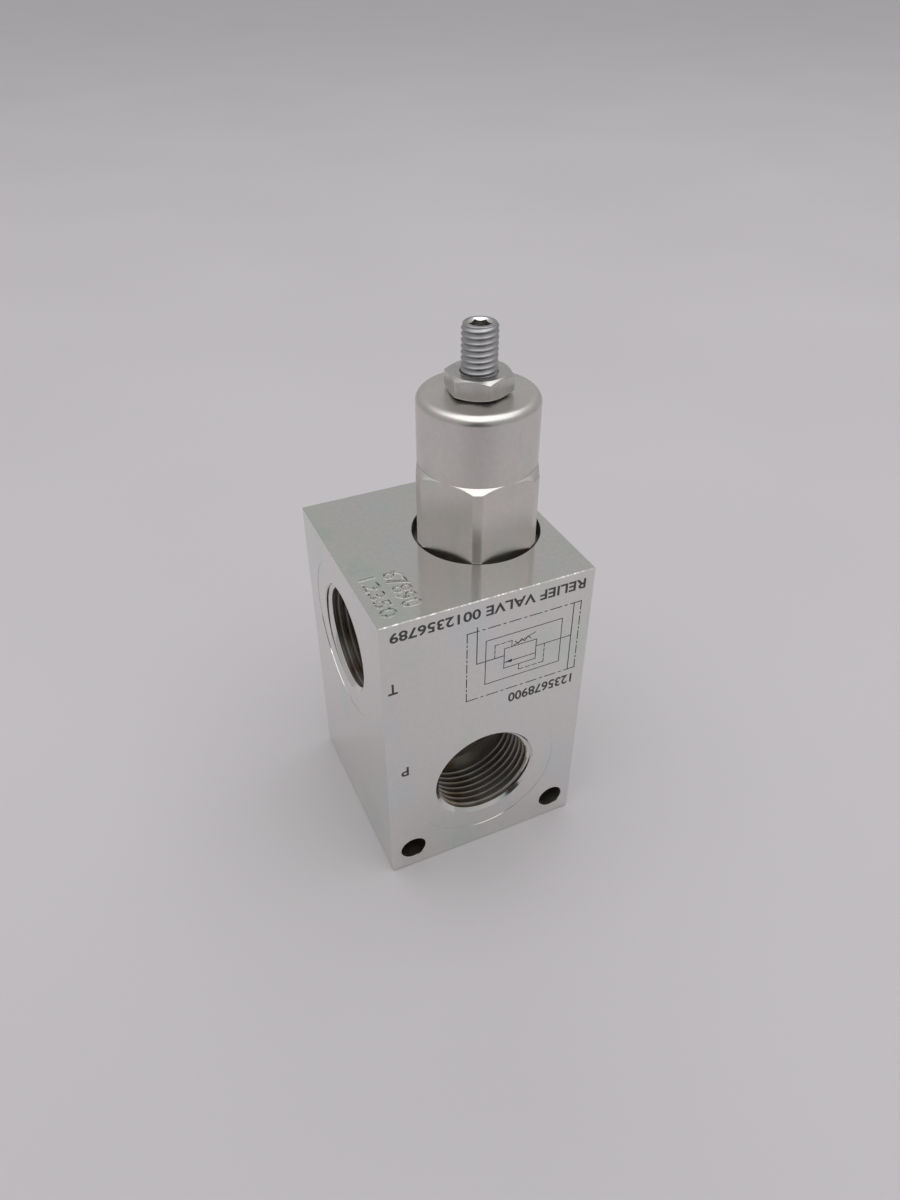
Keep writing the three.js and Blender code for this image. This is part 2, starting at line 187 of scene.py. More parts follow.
# Stamped digits on the top. A row is its text, its middle in X and Y, its digits' height and its length.
STAMPED_ROWS = (("12350", -21.8, -14.75, 3.7, 14.5), ("67890", -16.1, -14.5, 4.4, 13.0))
STAMP_DEPTH = 0.25
STAMP_RIM_R = 0.16
STAMP_WEIGHT = 0.01


# ---- meshes ----

def new_object(name, vertices, faces):
    """An object from vertices in millimetres, its doubled points merged and its faces pointing out."""
    mesh = bpy.data.meshes.new(name)
    mesh.from_pydata([Vector(v) * MM for v in vertices], [], faces)
    shape = bmesh.new()
    shape.from_mesh(mesh)
    bmesh.ops.remove_doubles(shape, verts=shape.verts, dist=1e-7)
    bmesh.ops.dissolve_degenerate(shape, edges=shape.edges, dist=1e-8)
    bmesh.ops.recalc_face_normals(shape, faces=shape.faces)
    shape.to_mesh(mesh)
    shape.free()
    made = bpy.data.objects.new(name, mesh)
    bpy.context.scene.collection.objects.link(made)
    return made


def eased(profile, radius=0.2, steps=3):
    """The profile with each corner off the axis rounded, and a support point beside each rounding."""
    closed = profile[0][0] > 0
    points = [Vector(p) for p in profile]
    count = len(points)
    result = []
    for i, here in enumerate(points):
        at_end = not closed and i in (0, count - 1)
        before = points[i - 1] - here
        after = points[(i + 1) % count] - here
        if at_end or before.angle(after) > math.radians(170):
            result.append(tuple(here))
            continue
        cut = min(radius, 0.38 * before.length, 0.38 * after.length)
        start = here + before.normalized() * cut
        end = here + after.normalized() * cut
        result.append(tuple(here + before.normalized() * cut * 1.25))
        for step in range(steps + 1):
            t = step / steps
            result.append(tuple(start.lerp(here, t).lerp(here.lerp(end, t), t)))
        result.append(tuple(here + after.normalized() * cut * 1.25))
    return result


def even_angles(count=96):
    return np.linspace(0, FULL_TURN, count, endpoint=False)


def revolved(name, profile, angles=None, centre=(0.0, 0.0)):
    """A solid round Z, from a profile of radii and heights.

    Each radius or height is a number, or one value per angle.
    """
    angles = even_angles() if angles is None else angles
    around = len(angles)
    rings = []
    for radius, height in profile:
        r = np.broadcast_to(radius, angles.shape)
        z = np.broadcast_to(height, angles.shape)
        rings.append(np.stack([centre[0] + r * np.cos(angles), centre[1] + r * np.sin(angles), z], 1))
    closed = float(np.max(profile[0][0])) > 0
    rows = len(rings)
    faces = []
    for i in range(rows if closed else rows - 1):
        low, high = i * around, (i + 1) % rows * around
        for j in range(around):
            k = (j + 1) % around
            faces.append((low + j, low + k, high + k, high + j))
    return new_object(name, np.concatenate(rings), faces)


def thread_section(crest, root, samples=16, root_flat=0.2, crest_flat=0.16):
    """Radii over one pitch of a thread with straight flanks, from root to crest and back."""
    rise = 1 - np.abs(2 * np.arange(samples) / samples - 1)
    share = np.clip((rise - root_flat) / (1 - root_flat - crest_flat), 0, 1)
    return root + (crest - root) * share


def threaded_rod(name, section, pitch, low, high, around=96):
    """A closed rod with a right-hand thread. Its rows of points follow the helix."""
    samples = len(section)
    rows = int(math.ceil((high - low) / pitch)) * samples
    start = math.floor(low / pitch) * pitch
    vertices = []
    for j in range(around):
        angle = FULL_TURN * j / around
        for i in range(rows + 1):
            r = section[i % samples]
            z = start + pitch * (i / samples + j / around)
            vertices.append((r * math.cos(angle), r * math.sin(angle), z))

    def at(i, j):
        return (j % around) * (rows + 1) + i + (samples if j == around else 0)

    faces = []
    for j in range(around):
        for i in range(rows - (samples if j == around - 1 else 0)):
            faces.append((at(i, j), at(i, j + 1), at(i + 1, j + 1), at(i + 1, j)))
    bottom_rim = [at(0, j) for j in range(around)] + [at(i, 0) for i in range(samples, 0, -1)]
    top_rim = [at(rows, j) for j in range(around)]
    top_rim += [at(i, around - 1) for i in range(rows - 1, rows - samples - 1, -1)]
    for rim, z in ((bottom_rim, start), (top_rim, start + pitch * (rows / samples + 1))):
        vertices.append((0, 0, z))
        hub = len(vertices) - 1
        for a, b in zip(rim, rim[1:] + rim[:1]):
            faces.append((hub, a, b))
    return new_object(name, vertices, faces)


def prism(name, outline, low, high):
    """A straight prism on an outline in X and Y."""
    count = len(outline)
    vertices = [(x, y, z) for z in (low, high) for x, y in outline]
    sides = [(i, (i + 1) % count, count + (i + 1) % count, count + i) for i in range(count)]
    return new_object(name, vertices, [tuple(range(count)), tuple(range(count, 2 * count)), *sides])


def hexagon(across_flats, turn):
    corner = across_flats / math.sqrt(3)
    angles = [turn + math.radians(60 * i) for i in range(6)]
    return [(corner * math.cos(a), corner * math.sin(a)) for a in angles]


def placed(made, turn=(0, 0, 0), at=(0, 0, 0)):
    """Turns a mesh by degrees about X, Y and Z, then moves it in millimetres."""
    spin = Euler([math.radians(a) for a in turn]).to_matrix().to_4x4()
    made.data.transform(Matrix.Translation(Vector(at) * MM) @ spin)
    return made


def combine(made, others, operation):
    """Applies one exact boolean per other object, and removes those objects."""
    for other in others:
        modifier = made.modifiers.new("boolean", "BOOLEAN")
        modifier.operation = operation
        modifier.solver = "EXACT"
        modifier.object = other
    bpy.context.view_layer.update()
    depsgraph = bpy.context.evaluated_depsgraph_get()
    result = bpy.data.meshes.new_from_object(made.evaluated_get(depsgraph))
    made.modifiers.clear()
    made.data = result
    for other in others:
        bpy.data.objects.remove(other)
    return made


def smooth(made, sharp_degrees=32):
    made.data.shade_smooth()
    made.data.set_sharp_from_angle(angle=math.radians(sharp_degrees))
    return made


def joined(name, parts):
    """One object from several."""
    shape = bmesh.new()
    for part in parts:
        shape.from_mesh(part.data)
        bpy.data.objects.remove(part)
    mesh = bpy.data.meshes.new(name)
    shape.to_mesh(mesh)
    shape.free()
    made = bpy.data.objects.new(name, mesh)
    bpy.context.scene.collection.objects.link(made)
    return made


def enrol(made, material, slot, body, *nodes):
    """Gives a finished piece its material, its body and the CAD nodes it stands for. The slot argument is
    not used.
    """
    made.data.materials.clear()
    made.data.materials.append(material)
    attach(made, body)
    if nodes:
        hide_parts(*nodes)
    return made


# ---- materials ----

class Shader:
    """A material's node tree with short ways to add and link nodes."""

    def __init__(self, name, **settings):
        self.material = bpy.data.materials.new(name)
        self.material.use_nodes = True
        self.tree = self.material.node_tree
        self.surface = self.tree.nodes["Principled BSDF"]
        for key, value in settings.items():
            self.surface.inputs[key.replace("_", " ")].default_value = value
        self.object_place = self.node("ShaderNodeTexCoord").outputs["Object"]

    def node(self, kind, links=None, **settings):
        made = self.tree.nodes.new(kind)
        for key, value in settings.items():
            if hasattr(made, key):
                setattr(made, key, value)
            else:
                made.inputs[key].default_value = value
        for key, source in (links or {}).items():
            self.tree.links.new(source, made.inputs[key])
        return made

    def stretched(self, scale, source=None):
        links = {"Vector": source or self.object_place}
        return self.node("ShaderNodeMapping", links, Scale=scale).outputs["Vector"]

    def noise(self, vector, scale, detail=3.0, rough=0.5):
        links = {"Vector": vector}
        settings = {"Scale": scale, "Detail": detail, "Roughness": rough}
        return self.node("ShaderNodeTexNoise", links, **settings).outputs["Fac"]

    def ramp(self, factor, stops):
        made = self.node("ShaderNodeValToRGB", {"Fac": factor})
        elements = made.color_ramp.elements
        while len(elements) < len(stops):
            elements.new(0.5)
        for element, (position, colour) in zip(elements, stops):
            element.position = position
            element.color = (*colour, 1)
        return made.outputs["Color"]

    def remap(self, value, low, high, to_low, to_high):
        settings = {"From Min": low, "From Max": high, "To Min": to_low, "To Max": to_high}
        return self.node("ShaderNodeMapRange", {"Value": value}, **settings).outputs["Result"]

    def math(self, operation, a, b):
        made = self.node("ShaderNodeMath", {0: a}, operation=operation)
        if isinstance(b, (int, float)):
            made.inputs[1].default_value = b
        else:
            self.tree.links.new(b, made.inputs[1])
        return made.outputs[0]

    def blend(self, factor, first, second, mode="MIX"):
        made = self.node("ShaderNodeMix", data_type="RGBA", blend_type=mode)
        for socket, source in ((made.inputs[0], factor), (made.inputs[6], first), (made.inputs[7], second)):
            if isinstance(source, bpy.types.NodeSocket):
                self.tree.links.new(source, socket)
            else:
                socket.default_value = source
        return made.outputs[2]

    def around_axis(self, x_mm):
        """Distance from the vertical line at X, and height: turning marks lie along both."""
        parts = self.node("ShaderNodeSeparateXYZ", {"Vector": self.object_place})
        across = self.math("SUBTRACT", parts.outputs["X"], x_mm * MM)
        squares = self.math("ADD", self.math("MULTIPLY", across, across),
                            self.math("MULTIPLY", parts.outputs["Y"], parts.outputs["Y"]))
        radius = self.math("SQRT", squares, 0.0)
        links = {"X": radius, "Z": parts.outputs["Z"]}
        return self.node("ShaderNodeCombineXYZ", links).outputs["Vector"]

    def bump(self, height, strength, distance, under=None):
        links = {"Height": height}
        if under is not None:
            links["Normal"] = under
        return self.node("ShaderNodeBump", links, Strength=strength, Distance=distance).outputs["Normal"]

    def finish(self, **links):
        for key, source in links.items():
            self.tree.links.new(source, self.surface.inputs[key.replace("_", " ")])
        return self.material


def plated(name, tones, roughness, spread, grain, grain_strength, patch_scale=55.0, turned=0.0):
    """Plated steel: a patchy film of slightly different tints over fine machining marks."""
    shader = Shader(name, Metallic=1.0)
    patches = shader.noise(shader.stretched((1, 1, 0.5)), patch_scale, 5.0, 0.55)
    fine = shader.noise(shader.object_place, 900.0, 4.0, 0.6)
    tint = shader.ramp(patches, list(zip((0.34, 0.46, 0.54, 0.66), tones)))
    speckle = shader.ramp(fine, [(0.3, (0.94, 0.94, 0.94)), (0.7, (1.0, 1.0, 1.0))])
    colour = shader.blend(1.0, tint, speckle, "MULTIPLY")
    marks = shader.noise(grain(shader), 1.0, 3.0, 0.65)
    smear = shader.math("ADD", shader.math("MULTIPLY", patches, 0.6), shader.math("MULTIPLY", marks, 0.4))
    rough = shader.remap(smear, 0.3, 0.7, roughness - spread, roughness + spread)
    pits = shader.bump(fine, 0.1, 0.00002)
    normal = shader.bump(marks, grain_strength, 0.00001, pits)
    links = {"Base_Color": colour, "Roughness": rough, "Normal": normal}
    if turned:
        shader.surface.inputs["Anisotropic"].default_value = turned
        around = shader.node("ShaderNodeTangent", direction_type="RADIAL", axis="Z")
        links["Tangent"] = around.outputs["Tangent"]
    return shader.finish(**links)


def turned_grain(shader):
    return shader.stretched((5200, 1, 5200), shader.around_axis(AXIS_X))


def milled_grain(shader):
    return shader.stretched((300, 4200, 4200))


def drawn_grain(shader):
    return shader.stretched((3800, 3800, 160))


ZINC_TONES = [(0.70, 0.76, 0.71), (0.77, 0.775, 0.74), (0.79, 0.765, 0.745), (0.735, 0.77, 0.765)]
WARM_ZINC_TONES = [(0.645, 0.65, 0.605), (0.69, 0.665, 0.635), (0.70, 0.66, 0.64), (0.66, 0.665, 0.63)]
DULL_ZINC_TONES = [(0.37, 0.375, 0.385), (0.42, 0.42, 0.43), (0.44, 0.435, 0.445), (0.39, 0.395, 0.405)]
NUT_TONES = [(0.55, 0.55, 0.53), (0.61, 0.60, 0.575), (0.63, 0.61, 0.59), (0.58, 0.58, 0.56)]
GROUND_TONES = [(0.50, 0.50, 0.51), (0.55, 0.55, 0.56), (0.58, 0.58, 0.58), (0.53, 0.53, 0.55)]
# Darker, browner tones for the faces deep in the bores: painted shade.
BORE_SHADE_TONES = [(0.28, 0.22, 0.15), (0.38, 0.35, 0.30), (0.44, 0.42, 0.39), (0.40, 0.40, 0.385)]

block_zinc = plated("block_zinc", ZINC_TONES, 0.13, 0.05, milled_grain, 0.04)
# Bright block zinc, rougher: the stamped rims' metal, and on the screw's socket mouth a painted highlight.
raised_steel_and_painted_highlight = plated("raised_steel_and_painted_highlight", ZINC_TONES, 0.22, 0.05, milled_grain, 0.04)
body_zinc = plated("body_zinc", WARM_ZINC_TONES, 0.31, 0.05, turned_grain, 0.06, 120.0, 0.3)
fastener_zinc = plated("fastener_zinc", DULL_ZINC_TONES, 0.42, 0.08, turned_grain, 0.06, 260.0)
nut_zinc = plated("nut_zinc", NUT_TONES, 0.25, 0.08, drawn_grain, 0.1, 260.0)
ground_steel = plated("ground_steel", GROUND_TONES, 0.24, 0.07, turned_grain, 0.08, 200.0, 0.4)
shaded_bore_steel = plated("shaded_bore_steel", BORE_SHADE_TONES, 0.4, 0.08, milled_grain, 0.06, 90.0)


def dark_wire():
    shader = Shader("spring_wire", Metallic=0.85)
    scale = shader.noise(shader.object_place, 500.0, 5.0, 0.6)
    colour = shader.ramp(scale, [(0.3, (0.05, 0.045, 0.04)), (0.7, (0.13, 0.115, 0.10))])
    rough = shader.remap(scale, 0.3, 0.7, 0.32, 0.5)
    return shader.finish(Base_Color=colour, Roughness=rough, Normal=shader.bump(scale, 0.2, 0.00004))


def rubber():
    shader = Shader("nitrile_rubber", Metallic=0.0)
    dust = shader.noise(shader.object_place, 1400.0, 4.0, 0.6)
    colour = shader.ramp(dust, [(0.35, (0.012, 0.012, 0.013)), (0.75, (0.035, 0.035, 0.037))])
    rough = shader.remap(dust, 0.3, 0.7, 0.5, 0.68)
    return shader.finish(Base_Color=colour, Roughness=rough, Normal=shader.bump(dust, 0.15, 0.00003))


def white_plastic():
    shader = Shader("backup_ptfe", Metallic=0.0)
    cloud = shader.noise(shader.object_place, 300.0, 4.0, 0.5)
    colour = shader.ramp(cloud, [(0.3, (0.72, 0.69, 0.61)), (0.7, (0.80, 0.78, 0.71))])
    rough = shader.remap(cloud, 0.3, 0.7, 0.4, 0.52)
    return shader.finish(Base_Color=colour, Roughness=rough, Normal=shader.bump(cloud, 0.1, 0.00003))


def laser_black():
    shader = Shader("laser_black", Metallic=0.15)
    burn = shader.noise(shader.object_place, 3500.0, 3.0, 0.6)
    colour = shader.ramp(burn, [(0.3, (0.035, 0.035, 0.036)), (0.75, (0.10, 0.10, 0.10))])
    rough = shader.remap(burn, 0.3, 0.7, 0.45, 0.65)
    return shader.finish(Base_Color=colour, Roughness=rough)


spring_wire = dark_wire()
nitrile = rubber()
ptfe = white_plastic()
marking_ink = laser_black()


# ---- block ----

def port_cutters(direction):
    """A port's spot face, mouth and bore, and its thread. Both are made looking up +Z, then placed."""
    mouth = SPOT_FACE_DEPTH + PORT_MOUTH_R - PORT_MINOR_R
    bore = revolved("port_bore", [
        (0, -PORT_DEPTH), (PORT_MINOR_R, -PORT_DEPTH), (PORT_MINOR_R, -mouth),
        (PORT_MOUTH_R, -SPOT_FACE_DEPTH), (SPOT_FACE_R, -SPOT_FACE_DEPTH), (SPOT_FACE_R, 2), (0, 2),
    ], even_angles(128))
    section = thread_section(PORT_MAJOR_R, PORT_MINOR_R - 0.05)
    rod = threaded_rod("port_thread", section, PORT_PITCH, -THREAD_DEPTH, 0.5, 128)
    turn, at = direction
    return [placed(bore, turn, at), placed(rod, turn, at)]


def cavity_cutter():
    rim = COUNTERBORE_R + COUNTERBORE_EDGE + CUTTER_REACH
    bore = revolved("cavity", [
        (0, PORT_P_Z), (INLET_HOLE_R, PORT_P_Z), (INLET_HOLE_R, NOSE_BORE_BOTTOM_Z),
        (NOSE_BORE_R, NOSE_BORE_BOTTOM_Z), (NOSE_BORE_R, NOSE_BORE_TOP_Z), (GALLERY_R, GALLERY_BOTTOM_Z),
        (GALLERY_R, CAVITY_THREAD_TOP_Z), (SEAL_CONE_R, SEAT_Z), (COUNTERBORE_R, SEAT_Z),
        (COUNTERBORE_R, BLOCK_TOP - COUNTERBORE_EDGE), (rim, BLOCK_TOP + CUTTER_REACH),
        (0, BLOCK_TOP + CUTTER_REACH),
    ], even_angles(144))
    return placed(bore, at=(AXIS_X, 0, 0))


def mount_hole_cutter(x):
    reach = BLOCK_HALF + CUTTER_REACH
    edge = MOUNT_HOLE_R + MOUNT_HOLE_CHAMFER
    shoulder = reach - MOUNT_HOLE_CHAMFER
    hole = revolved("mount_hole", [
        (0, -reach), (edge, -reach), (MOUNT_HOLE_R, -shoulder),
        (MOUNT_HOLE_R, shoulder), (edge, reach), (0, reach),
    ], even_angles(48))
    return placed(hole, (90, 0, 0), (x, 0, MOUNT_HOLE_Z))


def chamfered_bar():
    """The bar that the block is cut from. The cutter's teeth leave its top front edge finely serrated."""
    low, high = block_low / MM, block_high / MM
    outline = [(low.x, low.y), (high.x, low.y), (high.x, high.y), (low.x, high.y)]
    bar = prism("manifold_block_look", outline, low.z, high.z)
    shape = bmesh.new()
    shape.from_mesh(bar.data)
    bmesh.ops.bevel(shape, geom=shape.edges, offset=EDGE_BREAK * MM, segments=1, affect="EDGES")
    lowest = (high.z - 1.5 * EDGE_BREAK) * MM
    deepest = (low.y + 1.5 * EDGE_BREAK) * MM
    long_edges = []
    for edge in shape.edges:
        at_top_front = all(v.co.z > lowest and v.co.y < deepest for v in edge.verts)
        if at_top_front and edge.calc_length() > 10 * MM:
            long_edges.append(edge)
    teeth = int((high.x - low.x) / TOOTH_PITCH)
    made = bmesh.ops.subdivide_edges(shape, edges=long_edges, cuts=teeth, use_grid_fill=False)
    random = np.random.default_rng(7)
    for vertex in [v for v in made["geom_inner"] if isinstance(v, bmesh.types.BMVert)]:
        step = random.uniform(-TOOTH_DEPTH, TOOTH_DEPTH) * MM
        if vertex.co.z > (high.z - 0.1 * EDGE_BREAK) * MM:
            vertex.co.y += step
        else:
            vertex.co.z += step
    shape.to_mesh(bar.data)
    shape.free()
    return bar


def depth_in_block(point):
    """How far a point is inside the block's nearest outer face, in millimetres."""
    gaps = [min(point[i] - block_low[i], block_high[i] - point[i]) for i in range(3)]
    return min(gaps) / MM


def make_block():
    front = ((90, 0, 0), (0, -BLOCK_HALF, PORT_P_Z))
    back = ((-90, 0, 0), (0, BLOCK_HALF, PORT_P_Z))
    left = ((0, -90, 0), (-BLOCK_HALF, 0, PORT_T_Z))
    end = PASSAGE_END
    passage_p = revolved("passage_p", [(0, -end), (PASSAGE_P_R, -end), (PASSAGE_P_R, end), (0, end)])
    passage_t = revolved("passage_t", [(0, 0), (PASSAGE_T_R, 0), (PASSAGE_T_R, end), (0, end)])
    cutters = [
        *port_cutters(front), *port_cutters(back), *port_cutters(left),
        placed(passage_p, (90, 0, 0), (0, 0, PORT_P_Z)), placed(passage_t, (0, -90, 0), (0, 0, PORT_T_Z)),
        cavity_cutter(), mount_hole_cutter(-MOUNT_HOLE_X), mount_hole_cutter(MOUNT_HOLE_X),
        *[stamped_text(row, -STAMP_DEPTH, 0.5) for row in STAMPED_ROWS],
    ]
    block = smooth(combine(chamfered_bar(), cutters, "DIFFERENCE"))
    enrol(block, block_zinc, "block_zinc_plate", "valve_block", "manifold_block")
    # Faces deep inside the block get the darker bore metal: painted shade in the bores.
    block.data.materials.append(shaded_bore_steel)
    for face in block.data.polygons:
        if depth_in_block(face.center) > BORE_SHADE_DEPTH:
            face.material_index = 1


# ---- stamped number ----

def text_curve(name, text):
    curve = bpy.data.curves.new(name, "FONT")
    curve.body = text
    curve.align_x = "CENTER"
    curve.align_y = "CENTER"
    curve.resolution_u = 4
    return curve


def curve_mesh(name, curve):
    """A mesh object made from a curve, which is removed."""
    holder = bpy.data.objects.new(name, curve)
    bpy.context.scene.collection.objects.link(holder)
    bpy.context.view_layer.update()
    mesh = bpy.data.meshes.new_from_object(holder.evaluated_get(bpy.context.evaluated_depsgraph_get()))
    bpy.data.objects.remove(holder)
    made = bpy.data.objects.new(name, mesh)
    bpy.context.scene.collection.objects.link(made)
    return made


def stretch_onto_top(made, size, row):
    """Scales text of the given drawn size to its row's box on the block's top, reading along -Y."""
    _, x, y, height, length = row
    scale = Matrix.Diagonal((length / size.x * MM, height / size.y * MM, MM, 1))
    turn = Matrix.Rotation(math.radians(-90), 4, "Z")
    made.data.transform(Matrix.Translation(Vector((x, y, BLOCK_TOP)) * MM) @ turn @ scale)
    return made


def drawn_size(text):
    flat = curve_mesh("measure", text_curve("measure", text))
    size = flat.dimensions.copy()
    bpy.data.objects.remove(flat)
    return size


def stamped_text(row, low, high):
    """A row of digits as a solid between two heights above the block's top."""
    curve = text_curve("stamp", row[0])
    curve.extrude = (high - low) / 2
    curve.offset = STAMP_WEIGHT
    made = curve_mesh("stamp", curve)
    made.data.transform(Matrix.Translation((0, 0, (high + low) / 2)))
    stretch_onto_top(made, drawn_size(row[0]), row)
    shape = bmesh.new()
    shape.from_mesh(made.data)
    bmesh.ops.remove_doubles(shape, verts=shape.verts, dist=1e-7)
    shape.to_mesh(made.data)
    shape.free()
    return made


def make_stamp_rims():
    """The metal thrown up along the edges of each stamped digit."""
    rims = []
    for row in STAMPED_ROWS:
        size = drawn_size(row[0])
        curve = text_curve("rim", row[0])
        curve.fill_mode = "NONE"
        curve.offset = STAMP_WEIGHT
        curve.bevel_depth = STAMP_RIM_R * size.y / row[3]
        curve.bevel_resolution = 1
        rim = curve_mesh("rim", curve)
        rim.data.transform(Matrix.Diagonal((1, 1, row[3] / size.y, 1)))
        rims.append(stretch_onto_top(rim, size, row))
    made = smooth(joined("stamped_number", rims), 50)
    enrol(made, raised_steel_and_painted_highlight, "block_zinc_plate", "valve_block")


# ---- front marking ----

def lettering(name, text, width, height, weight):
    """Letters as a thin solid, centred on the origin in X and Y, its face looking along +Z."""
    curve = text_curve(name, text)
    curve.extrude = 0.5
    curve.offset = weight
    made = curve_mesh(name, curve)
    points = np.array([v.co for v in made.data.vertices])
    size = points.max(0) - points.min(0)
    middle = (points.max(0) + points.min(0)) / 2
    scale = Matrix.Diagonal((width / size[0] * MM, height / size[1] * MM, MARK_DEPTH / size[2] * MM, 1))
    made.data.transform(scale @ Matrix.Translation(-Vector(middle)))
    return made


def on_front_upside_down(made, x, z):
    made.data.transform(Matrix.Translation(Vector((x, -BLOCK_HALF, z)) * MM)
                        @ Matrix(((-1, 0, 0, 0), (0, 0, -1, 0), (0, -1, 0, 0), (0, 0, 0, 1))))
    return made


def stroke(start, end, width):
    """A marked line on the front face, between two points given as x and z."""
    a, b = Vector(start), Vector(end)
    along = (b - a).normalized() * width / 2
    side = Vector((-along.y, along.x))
    outline = [a - along + side, a - along - side, b + along - side, b + along + side]
    flat = prism("stroke", [tuple(p) for p in outline], -MARK_DEPTH / 2, MARK_DEPTH / 2)
    return placed(flat, (90, 0, 0), (0, -BLOCK_HALF, 0))


def path_strokes(points, width=MARK_LINE):
    return [stroke(a, b, width) for a, b in zip(points, points[1:])]


def dashed_strokes(points, pattern, width=MARK_LINE):
    """Strokes and gaps of the pattern's lengths along each leg, fitted so that each leg ends on a stroke."""
    strokes = []
    for a, b in zip(points, points[1:]):
        a, b = Vector(a), Vector(b)
        length = (b - a).length
        period = sum(pattern)
        repeats = max(1, round((length - pattern[0]) / period))
        stretch = length / (repeats * period + pattern[0])
        at = 0.0
        for _ in range(repeats + 1):
            for i, piece in enumerate(pattern):
                if i % 2 == 0 and at < length - 1e-6:
                    end = min(at + piece * stretch, length)
                    strokes.append(stroke(a.lerp(b, at / length), a.lerp(b, end / length), width))
                at += piece * stretch
    return strokes


def make_circuit_symbol():
    """The standard symbol of a direct-acting relief valve, with its ports and its drain."""
    frame_left, frame_right, frame_low, frame_high = -5.65, 22.6, 52.0, 71.8
    inner_left, inner_right, inner_low, inner_high = -1.05, 18.05, 55.55, 68.3
    valve_left, valve_right, valve_low, valve_high = 3.6, 11.65, 58.7, 64.5
    line_z = 62.45
    tank_x, pressure_x = -3.25, 20.75
    chain = (2.6, 0.8, 0.5, 0.8)
    dash = (1.1, 0.55)
    fine = 0.2
    rectangle = [(frame_left, frame_low), (frame_left, frame_high), (frame_right, frame_high),
                 (frame_right, frame_low), (frame_left, frame_low)]
    parts = dashed_strokes(rectangle, chain)
    for left, right, low, high in ((inner_left, inner_right, inner_low, inner_high),
                                   (valve_left, valve_right, valve_low, valve_high)):
        parts += path_strokes([(left, low), (left, high), (right, high), (right, low), (left, low)], fine)
    parts += path_strokes([(pressure_x, frame_low), (pressure_x, frame_high)])
    parts += path_strokes([(tank_x, frame_high + 1.05), (tank_x, line_z), (valve_left, line_z)])
    parts += path_strokes([(valve_right, line_z), (pressure_x, line_z)], fine)
    parts += path_strokes([(valve_right, 60.4), (valve_left, 60.4)], fine)
    parts += dashed_strokes([(1.2, line_z), (1.2, 66.25), (5.4, 66.25), (5.4, valve_high)], dash, fine)
    parts += dashed_strokes([(13.85, line_z), (13.85, 57.0), (7.45, 57.0), (7.45, valve_low)], dash, fine)
    zigzag = [(6.2 + 0.8 * i, valve_high + (0.25 if i % 2 else 1.25) + 0.1 * i) for i in range(6)]
    parts += path_strokes(zigzag, fine)
    parts += path_strokes([(5.9, 64.75), (11.3, 66.7)], fine)
    arrow_outline = [(3.7, 60.4), (5.6, 60.85), (5.6, 59.95)]
    arrow_head = prism("arrow_head", arrow_outline, -MARK_DEPTH / 2, MARK_DEPTH / 2)
    parts.append(placed(arrow_head, (90, 0, 0), (0, -BLOCK_HALF, 0)))
    return enrol(joined("circuit_symbol", parts), marking_ink, "marking_black", "valve_block")


def make_marking():
    make_circuit_symbol()
    words = (
        ("marking_line_upper", "RELIEF VALVE 0012356789", 46.4, LETTER_HEIGHT, 0.0, 76.6),
        ("marking_line_lower", "1235678900", 17.0, 2.9, 13.7, 48.8),
        ("marking_port_t", "T", 2.2, 3.0, -23.05, 62.6),
        ("marking_port_p", "P", 1.9, 2.9, -21.15, 35.7),
    )
    for name, text, width, height, x, z in words:
        letters = on_front_upside_down(lettering(name, text, width, height, LETTER_WEIGHT), x, z)
        enrol(letters, marking_ink, "marking_black", "valve_block")


# ---- cartridge body ----

def hexagon_angles(band_edge, turn):
    """Angles round a hexagon with turned corners: close together at the edges of each corner's band."""
    flat = np.linspace(-band_edge, band_edge, 15)[1:-1]
    near_edge = np.radians([-0.5, -0.15, 0.15, 0.5])
    band = np.linspace(band_edge, math.radians(60) - band_edge, 6)[1:-1]
    sector = np.concatenate([flat, band_edge + near_edge, band])
    sector = np.concatenate([sector, math.radians(60) - band_edge + near_edge])
    middle_of_flat = turn + math.radians(30)
    angles = np.concatenate([middle_of_flat + math.radians(60) * i + sector for i in range(6)])
    return np.sort(angles % FULL_TURN)


def hexagon_radius(angles, across_flats, corner_r, turn):
    """Distance to the side of a hexagon whose corners are turned down, its edges very slightly rounded."""
    off_flat = (angles - turn) % math.radians(60) - math.radians(30)
    straight = across_flats / 2 / np.cos(off_flat)
    softness = 0.02
    return -softness * np.log(np.exp(-straight / softness) + np.exp(-corner_r / softness))


def hexagon_side(radius, chamfer_r, low, high, slope, ease=0.12):
    """Profile rows up a hexagon's side with a turned chamfer at each end."""
    drop = np.maximum((radius - chamfer_r) * slope, 0)
    bottom = low + drop
    top = high - drop
    inner = np.minimum(radius, chamfer_r)
    share = np.minimum(ease, drop / 3 + 0.004)
    eased_r = radius - share * 0.8
    return [
        (inner, low), (eased_r, bottom - share * 0.5), (radius, bottom + share),
        (radius, top - share), (eased_r, top + share * 0.5), (inner, high),
    ]


